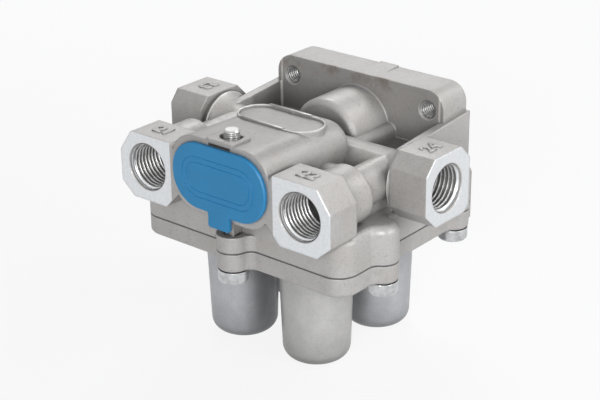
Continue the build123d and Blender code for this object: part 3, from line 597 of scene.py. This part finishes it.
def body_places(s, colour, x, y, z, facing):
    """The colour stained along one edge, with painted shade on the barrel and its top, on the flange's
    front and in its pockets, and a painted highlight at its corners.
    """
    wide = s.math("ABSOLUTE", x)
    stains = s.all_of(
        s.span(z, *STAIN_UP),
        s.span(y, *STAIN_FRONT),
        s.span(y, *STAIN_BACK),
        s.span(s.noise(120, 3.0, 0.6), 0.5, 0.62, 0.0, 0.8),
    )
    colour = s.mix(stains, colour, STAIN)
    # Painted shade over the barrel, and more on its upward faces
    on_barrel = s.all_of(s.span(wide, *BARREL_ACROSS), s.span(y, *BARREL_ALONG), s.span(z, *BARREL_UP))
    colour = s.times_where(colour, on_barrel, BARREL_SHADE)
    upward = s.span(s.axis("Z", facing), *TURNED_UP)
    colour = s.times_where(colour, s.all_of(on_barrel, upward), BARREL_TOP_SHADE)
    # Painted shade on the flange's front faces
    on_flange = s.all_of(s.span(s.axis("Y", facing), *TURNED_TO_FRONT), s.span(y, *FLANGE_ALONG))
    colour = s.times_where(colour, on_flange, FLANGE_SHADE)
    # Painted shade in the flange's pockets
    pocket = s.all_of(
        s.span(wide, *POCKET_INNER),
        s.span(wide, *POCKET_OUTER),
        s.span(y, *POCKET_FRONT),
        s.span(y, *POCKET_BACK),
        s.span(z, *POCKET_UP),
        s.span(s.axis("Y", facing), *TURNED_FROM_FRONT),
    )
    colour = s.times_where(colour, pocket, POCKET_SHADE)
    # Painted highlight along the two corners at the flange's front
    corner = s.all_of(s.near(wide, CORNER_X, CORNER_WIDTH), s.near(y, CORNER_Y, CORNER_WIDTH))
    return s.times_where(colour, corner, CORNER_LIGHT)


def joint_seam(s, colour, z):
    """The colour with the dark line where the two castings meet."""
    return s.times_where(colour, s.near(z, JOINT_Z * MM, SEAM_WIDTH), SEAM_SHADE)


def body_finish():
    """The upper casting: cast skin, cut faces, stains, a dark joint line, worn edges with a painted
    highlight, and painted shade on the barrel and flange, in creases, hollows and pockets and inside the
    outlets.
    """
    s, colour = cast_aluminium("cast_body")
    x, y, z = s.axis("X"), s.axis("Y"), s.axis("Z")
    facing = s.normal()
    cut = cut_faces(s, x, y, facing)
    # Edges lighter as wear and as a painted highlight, creases darker as painted shade
    colour = edge_wear_highlight_and_crease_shade(s, colour)
    mottle = s.span(s.noise(900, 3.0, 0.6), 0.3, 0.7, 0.94, 1.05)
    colour = s.mix(cut, colour, s.times(MACHINED, mottle))
    colour = body_places(s, colour, x, y, z, facing)
    colour = joint_seam(s, colour, z)
    # Painted shade in the body's hollows
    colour = s.times(colour, s.painted_hollow_shade(10, 0.66))
    # Painted shade deep inside the outlet bores and passages
    colour = s.times_where(colour, inside_ports(s, x, y, z), PORT_SHADE)
    s.finish("Base Color", colour)
    s.finish("Metallic", s.span(cut, 0.0, 1.0, 0.2, 0.85))
    rough = s.span(s.noise(400, 2.0), 0.3, 0.7, 0.38, 0.48)
    s.finish("Roughness", s.mix(cut, rough, MACHINED_ROUGHNESS))
    strength = s.span(cut, 0.0, 1.0, 0.55, 0.2)
    s.finish("Normal", s.bump(s.noise(2200, 3.0, 0.6), 0.00006, strength, s.rounded(0.9)))
    return s.material


def housing_finish():
    """The spring housing: its flange as the body, its domes smoother, the front right one greenish, with
    painted shade in hollows and between the domes.
    """
    s, colour = cast_aluminium("cast_housing")
    x, y, z = s.axis("X"), s.axis("Y"), s.axis("Z")
    on_domes = s.span(z, *DOME_UP)
    cloud = s.span(s.noise(60, 3.0, 0.55), 0.35, 0.68)
    front_right = s.all_of(s.span(x, *RIGHT_DOMES), s.span(y, *FRONT_DOMES))
    bluish = s.mix(cloud, BLUISH, BLUISH_LIGHT)
    greenish = s.mix(cloud, GREENISH, GREENISH_LIGHT)
    grain = s.span(s.noise(2600, 2.0, 0.6), 0.25, 0.75, 0.88, 1.06)
    dome = s.times(s.mix(front_right, bluish, greenish), grain)
    dome = s.times(dome, s.span(s.noise(210, 3.0, 0.65), 0.35, 0.7, 1.02, 0.9))
    colour = s.mix(on_domes, colour, dome)
    colour = joint_seam(s, colour, z)
    # Painted shade in the housing's hollows and towards neighbouring domes
    colour = s.times(colour, s.painted_hollow_shade(22, 0.45))
    # Painted shade in the valley between the left and right domes
    valley = s.all_of(s.span(s.math("ABSOLUTE", x), *VALLEY_ACROSS), on_domes)
    colour = s.times_where(colour, valley, VALLEY_SHADE)
    s.finish("Base Color", colour)
    s.finish("Metallic", 0.2)
    s.finish("Roughness", s.span(s.noise(400, 2.0), 0.3, 0.7, 0.36, 0.44))
    s.finish("Normal", s.bump(s.noise(2200, 3.0, 0.6), 0.00005, 0.45, s.rounded(0.7)))
    return s.material


def zinc_finish():
    """Bright zinc with dull patches, with painted shade where the heads meet the casting."""
    s = plain("zinc", ZINC, roughness=0.3, metallic=0.9, grain=PLATED_GRAIN)
    patches = s.span(s.noise(420, 3.0, 0.6), 0.4, 0.65, 1.0, 0.72)
    # Painted shade where the heads meet the casting
    s.finish("Base Color", s.times(s.times(ZINC, patches), s.painted_hollow_shade(3, 0.3)))
    return s.material


def cover_finish():
    """Satin blue plastic, with a painted highlight along its edges."""
    s = Shade("blue_plastic")
    tone = s.span(s.noise(110, 3.0), 0.3, 0.7, 0.96, 1.04)
    # Painted highlight along the cover's edges
    tone = s.all_of(tone, s.span(s.edges(s.rounded(0.25)), 0.0, 1.0, 1.0, 1.2))
    s.finish("Base Color", s.times(BLUE, tone))
    s.finish("Roughness", s.span(s.noise(900, 2.0), 0.3, 0.7, 0.42, 0.5))
    s.finish("Normal", s.bump(s.noise(3000, 2.0), 0.00002, 0.5, s.rounded(0.25)))
    return s.material


# Shapes of this script's own

def new_piece(name, vertices, faces, materials):
    """A smooth mesh with the materials in turn, not yet on any body."""
    mesh = bpy.data.meshes.new(name)
    mesh.from_pydata(vertices, [], faces)
    mesh.polygons.foreach_set("use_smooth", [True] * len(mesh.polygons))
    for material in materials:
        mesh.materials.append(material)
    piece = bpy.data.objects.new(name, mesh)
    bpy.context.scene.collection.objects.link(piece)
    return piece


def onto_body_casting(piece):
    """Makes a piece part of the upper casting."""
    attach(piece, "main")


def quad(row, k, count):
    """The corners of one face between a ring of points and the next ring."""
    a, b = row * count + k, row * count + (k + 1) % count
    return (a, b, b + count, a + count)


def thread_radius(share, crest, root):
    """The radius of an internal vee thread at a share of its pitch, with flats."""
    if share < CREST_END:
        return crest
    if share < CREST_END + FLANK:
        return crest + (root - crest) * (share - CREST_END) / FLANK
    if share < ROOT_END:
        return root
    return root - (root - crest) * (share - ROOT_END) / FLANK


def thread(name, mouth, out, sizes, slope, materials, segments=72, rows=12):
    """An internal thread between two depths of a bore, cut back by the cone of its mouth.

    The first material is for the crests, the second, dark as painted shade, for the roots, the third for
    the cone.
    """
    crest, root, pitch, start, end, lead = sizes
    out = Vector(out)
    side = Vector((0, 0, 1)).cross(out).normalized()
    up = out.cross(side)
    count = int((end - start) / pitch * rows)
    vertices, faces, kinds = [], [], []
    for row in range(count + 1):
        depth = start + (end - start) * row / count
        for k in range(segments):
            turn = k / segments
            cone = min(lead - depth * slope, root)
            radius = max(thread_radius((depth / pitch + turn) % 1.0, crest, root), cone)
            angle = 2 * math.pi * turn
            point = Vector(mouth) - out * depth
            point += (side * math.cos(angle) + up * math.sin(angle)) * radius
            vertices.append(point * MM)
    for row in range(count):
        depth = start + (end - start) * (row + 0.5) / count
        for k in range(segments):
            faces.append(quad(row, k, segments))
            share = (depth / pitch + (k + 0.5) / segments) % 1.0
            if lead - depth * slope > crest + CONE_MARGIN:
                kinds.append(2)
            else:
                # Roots and the deeper flanks take the painted shade
                kinds.append(int(DARK_FROM < share < DARK_TO))
    piece = new_piece(name, vertices, faces, materials)
    piece.data.polygons.foreach_set("material_index", kinds)
    onto_body_casting(piece)


def flare(name, side, rim, materials, segments=96, steps=14):
    """The round rim behind a side boss and the horn that leads from it down to the cross neck.

    The first material is for the horn, the second, lighter as a painted highlight, for the flash on the
    rim's crest.
    """
    profile = [
        (RIM_BACK_X, RIM_R),
        (rim + 0.55, RIM_R + 0.05),
        (rim + 0.4, RIM_R + 0.5),
        (rim + 0.1, RIM_R + 0.55),
        (rim - 0.05, RIM_R + 0.1),
    ]
    for step in range(1, steps + 1):
        share = step / steps
        profile.append((rim - HORN_LENGTH * share, HORN_END_R + HORN_RISE * (1 - share) ** HORN_CURVE))
    vertices, faces, kinds = [], [], []
    for across, radius in profile:
        for k in range(segments):
            angle = 2 * math.pi * k / segments
            along = SIDE_PORT.y + radius * math.cos(angle)
            vertices.append(Vector((side * across, along, PORT_Z + radius * math.sin(angle))) * MM)
    for row in range(len(profile) - 1):
        for k in range(segments):
            loop = quad(row, k, segments)
            faces.append(loop if side < 0 else loop[::-1])
            # The crest's rows are lighter as a painted highlight
            kinds.append(int(row in FLASH_AND_HIGHLIGHT_ROWS))
    piece = new_piece(name, vertices, faces, materials)
    piece.data.polygons.foreach_set("material_index", kinds)
    onto_body_casting(piece)


def bead(name, points, radius, material, closed=True, sides=8):
    """A thin round bead along level points in millimetres, for the flash that casting leaves."""
    count = len(points)
    vertices, faces = [], []
    for k, point in enumerate(points):
        before = points[k - 1] if closed or k else point
        after = points[(k + 1) % count] if closed or k + 1 < count else point
        across = (after - before).normalized().cross(Vector((0, 0, 1)))
        for j in range(sides):
            angle = 2 * math.pi * j / sides
            outward = across * math.cos(angle) + Vector((0, 0, math.sin(angle)))
            vertices.append((point + outward * radius) * MM)
    for k in range(count if closed else count - 1):
        for j in range(sides):
            here, there = k * sides, (k + 1) % count * sides
            later = (j + 1) % sides
            faces.append((here + j, here + later, there + later, there + j))
    if not closed:
        faces.append(tuple(range(sides))[::-1])
        faces.append(tuple((count - 1) * sides + j for j in range(sides)))
    onto_body_casting(new_piece(name, vertices, faces, [material]))


def plate_outline(steps=20):
    """Points round the dished plate's rim, a slot with round ends."""
    radius = PLATE_WIDTH / 2
    half = PLATE_LENGTH / 2 - radius
    points = []
    for end in (1, -1):
        for step in range(steps + 1):
            angle = -math.pi / 2 + math.pi * step / steps
            offset = Vector((half + radius * math.cos(angle), radius * math.sin(angle), 0)) * end
            points.append(PLATE_CENTRE + offset)
    return points


def numeral(name, text, centre, across, upward, material):
    """A raised generic number cast on a facet."""
    curve = bpy.data.curves.new(name, "FONT")
    curve.body = text
    curve.size = NUMERAL_SIZE * MM
    curve.align_x = "CENTER"
    curve.align_y = "CENTER"
    curve.extrude = NUMERAL_HALF_HEIGHT * MM
    curve.bevel_depth = NUMERAL_BEVEL * MM
    curve.bevel_resolution = 1
    curve.resolution_u = 4
    curve.offset = NUMERAL_STROKE * MM
    source = bpy.data.objects.new(name + "_curve", curve)
    bpy.context.scene.collection.objects.link(source)
    bpy.context.view_layer.update()
    mesh = bpy.data.meshes.new_from_object(source)
    bpy.data.objects.remove(source)
    across, upward = Vector(across), Vector(upward)
    out = across.cross(upward)
    mesh.transform(Matrix((
        (across.x, upward.x, out.x, centre[0] * MM),
        (across.y, upward.y, out.y, centre[1] * MM),
        (across.z, upward.z, out.z, centre[2] * MM),
        (0, 0, 0, 1),
    )))
    mesh.name = name
    mesh.materials.clear()
    mesh.materials.append(material)
    piece = bpy.data.objects.new(name, mesh)
    bpy.context.scene.collection.objects.link(piece)
    onto_body_casting(piece)


def roll_points(inner_z, outer_z, steps=8):
    """The curve of a diaphragm's roll, from its flat centre out to its clamped rim."""
    middle_z = min(inner_z, outer_z) - ROLL_DEPTH
    points = []
    for step in range(steps + 1):
        share = step / steps
        height = (2 * share - 1) * (share - 1) * inner_z + (2 * share - 1) * share * outer_z
        height += 4 * share * (1 - share) * middle_z
        points.append((ROLL_INNER_R + (ROLL_OUTER_R - ROLL_INNER_R) * share, height))
    return points


def diaphragm_profile():
    """Radii and heights round a diaphragm's section, in millimetres."""
    low = DISC_TOP_Z - DISC_THICKNESS
    bead_low = JOINT_Z - BEAD_HEIGHT
    web = JOINT_Z - DISC_THICKNESS
    profile = [(DISC_HOLE_R, low), (DISC_HOLE_R, DISC_TOP_Z)]
    profile += roll_points(DISC_TOP_Z, JOINT_Z)
    profile += [(BEAD_R, JOINT_Z), (BEAD_R, bead_low), (BEAD_INNER_R, bead_low), (BEAD_INNER_R, web)]
    profile += roll_points(low, web)[::-1]
    return profile


def rolling_diaphragm(circuit, material, slices=12, steps=4):
    """A circuit's diaphragm in slices, each with the roll between the clamped rim and the valve's plate,
    standing in for its node.
    """
    low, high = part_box("diaphragm_" + circuit)
    centre_x, centre_y = (low[0] + high[0]) / 2 / MM, (low[1] + high[1]) / 2 / MM
    profile = diaphragm_profile()
    count = len(profile)
    width = 2 * math.pi / slices
    for number in range(slices):
        vertices, faces = [], []
        for step in range(steps + 1):
            angle = width * (number + step / steps)
            for radius, height in profile:
                across, along = radius * math.cos(angle), radius * math.sin(angle)
                vertices.append(Vector((centre_x + across, centre_y + along, height)) * MM)
        for step in range(steps):
            for k in range(count):
                faces.append(quad(step, k, count))
        faces.append(tuple(range(count))[::-1])
        faces.append(tuple(steps * count + k for k in range(count)))
        piece = new_piece("diaphragm_%s_slice_%d" % (circuit, number + 1), vertices, faces, [material])
        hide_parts("diaphragm_" + circuit)
        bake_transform(piece)


def smooth_group():
    """Geometry nodes that join split corners and keep only real edges sharp."""
    group = bpy.data.node_groups.new("smooth_by_angle", "GeometryNodeTree")
    group.interface.new_socket("Geometry", in_out="INPUT", socket_type="NodeSocketGeometry")
    group.interface.new_socket("Geometry", in_out="OUTPUT", socket_type="NodeSocketGeometry")
    nodes, links = group.nodes, group.links
    start = nodes.new("NodeGroupInput")
    end = nodes.new("NodeGroupOutput")
    strip = nodes.new("GeometryNodeRemoveAttribute")
    strip.inputs["Name"].default_value = "custom_normal"
    merge = nodes.new("GeometryNodeMergeByDistance")
    merge.inputs["Distance"].default_value = WELD_DISTANCE
    soften = nodes.new("GeometryNodeSetShadeSmooth")
    soften.inputs["Shade Smooth"].default_value = True
    sharpen = nodes.new("GeometryNodeSetShadeSmooth")
    sharpen.domain = "EDGE"
    sharpen.inputs["Shade Smooth"].default_value = False
    angle = nodes.new("GeometryNodeInputMeshEdgeAngle")
    compare = nodes.new("FunctionNodeCompare")
    compare.data_type = "FLOAT"
    compare.operation = "GREATER_THAN"
    compare.inputs[1].default_value = math.radians(SHARP_ANGLE)
    links.new(start.outputs[0], strip.inputs["Geometry"])
    links.new(strip.outputs[0], merge.inputs["Geometry"])
    links.new(merge.outputs[0], soften.inputs["Geometry"])
    links.new(soften.outputs[0], sharpen.inputs["Geometry"])
    links.new(angle.outputs["Unsigned Angle"], compare.inputs[0])
    links.new(compare.outputs["Result"], sharpen.inputs["Selection"])
    links.new(sharpen.outputs[0], end.inputs[0])
    return group


def smooth(piece, group):
    """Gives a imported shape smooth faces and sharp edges."""
    modifier = piece.modifiers.new("smooth", "NODES")
    modifier.node_group = group


def compress(node_name, group):
    """Stands a spring's own mesh in for its node, on the upper casting."""
    piece = bpy.data.objects.new(node_name + "_coil", frame["nodes"][node_name].data.copy())
    bpy.context.scene.collection.objects.link(piece)
    smooth(piece, group)
    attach(piece, "main")
    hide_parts(node_name)
    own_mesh(piece)


place_camera()
light_world()
make_floor()
area_light("front", azimuth=32, elevation=15, size=0.36, power=5.6)
area_light("side", azimuth=95, elevation=15, size=0.36, power=3.1)
area_light("rim_right", azimuth=140, elevation=45, size=0.4, power=2.1)
area_light("rim_left", azimuth=-140, elevation=45, size=0.4, power=2.3)
fill = area_light("back_left", azimuth=-130, elevation=12, size=0.4, power=2.2)
fill.visible_glossy = False

cast_skin = body_finish()
# Fins and beads of casting flash, lighter as a painted highlight
flash_and_highlight = plain("flash_and_highlight", FLASH_AND_HIGHLIGHT, roughness=0.4, metallic=0.3, grain=CAST_GRAIN).material
turned = plain("turned_aluminium", TURNED, roughness=0.35, metallic=1.0, grain=TURNED_GRAIN)
bright = plain("bright_steel", PIN, roughness=0.34, metallic=0.85, grain=PLATED_GRAIN)
wire = plain("spring_steel", WIRE, roughness=0.35, metallic=1.0, grain=TURNED_GRAIN)
brass = plain("brass", BRASS, roughness=0.3, metallic=1.0, grain=TURNED_GRAIN)
rubber = plain("black_rubber", RUBBER, roughness=0.6, metallic=0.0, grain=RUBBER_GRAIN)
finishes = {
    "body_casting": cast_skin,
    "housing_casting": housing_finish(),
    "screw_zinc": zinc_finish(),
    "blue_plastic": cover_finish(),
    "turned_aluminium": turned.material,
    "pin_steel": bright.material,
    "spring_steel": wire.material,
    "brass": brass.material,
    "black_rubber": rubber.material,
}
thread_materials = (
    plain("cut_thread", THREAD_CREST, roughness=0.4, metallic=0.55, grain=TURNED_GRAIN).material,
    # The second thread material is dark as painted shade in the roots
    plain("thread_root_shade", THREAD_ROOT_SHADE, roughness=0.5, metallic=0.4, grain=TURNED_GRAIN).material,
    plain("cut_cone", THREAD_CONE, roughness=0.32, metallic=0.6, grain=TURNED_GRAIN).material,
)

group = smooth_group()
slot_of = {part["node"]: part["material_slot"] for part in frame["record"]["subparts"]}
for node_name, node in frame["nodes"].items():
    node.data.materials.clear()
    node.data.materials.append(finishes[slot_of[node_name]])
    smooth(node, group)

for circuit, side in (("21", -1), ("22", 1)):
    mouth = Vector((side * FRONT_PORT.x, FRONT_PORT.y, FRONT_PORT.z))
    axis = (0, -1, 0)
    thread("outlet_thread_" + circuit, mouth, axis, OUTLET_THREAD, OUTLET_CONE_SLOPE, thread_materials)
    place = (side * FRONT_NUMERAL_X, FRONT_PORT.y + FRONT_NUMERAL_BACK, FRONT_FACET_Z)
    numeral("numeral_" + circuit, circuit, place, (1, 0, 0), (0, 1, 0), cast_skin)
for circuit, side in (("23", -1), ("24", 1)):
    mouth = Vector((side * SIDE_PORT.x, SIDE_PORT.y, SIDE_PORT.z))
    axis = (side, 0, 0)
    thread("outlet_thread_" + circuit, mouth, axis, OUTLET_THREAD, OUTLET_CONE_SLOPE, thread_materials)
    place = (side * SIDE_NUMERAL_X, SIDE_PORT.y + SIDE_NUMERAL_SHIFT, SIDE_FACET_Z)
    numeral("numeral_" + circuit, circuit, place, (0, side, 0), (-side, 0, 0), cast_skin)

# The plate's beads are lighter as a painted highlight
bead("plate_bead", plate_outline(), PLATE_BEAD_R, flash_and_highlight)
for name, side in (("near_wall_bead", -1), ("far_wall_bead", 1)):
    ends = [PLATE_CENTRE + Vector((x, side * PLATE_WIDTH / 2, WALL_BEAD_RISE)) for x in WALL_BEAD_ENDS]
    bead(name, ends, WALL_BEAD_R, flash_and_highlight, closed=False)
flare("left_flare", -1, LEFT_RIM_X, (cast_skin, flash_and_highlight))
flare("right_flare", 1, RIGHT_RIM_X, (cast_skin, flash_and_highlight))

for hand, side in (("left", -1), ("right", 1)):
    mouth = Vector((side * FLANGE_HOLE_X, FLANGE_BACK_Y - FLANGE_THICKNESS, FLANGE_HOLE_Z))
    name = "flange_thread_" + hand
    thread(name, mouth, (0, -1, 0), FLANGE_THREAD, FLANGE_CONE_SLOPE, thread_materials, segments=40)

for circuit in CIRCUITS:
    compress("pressure_spring_" + circuit, group)
for circuit in CHECKED_CIRCUITS:
    compress("check_spring_" + circuit, group)
for circuit in CIRCUITS:
    rolling_diaphragm(circuit, finishes["black_rubber"])

view = bpy.context.scene.view_settings
view.view_transform = "Standard"
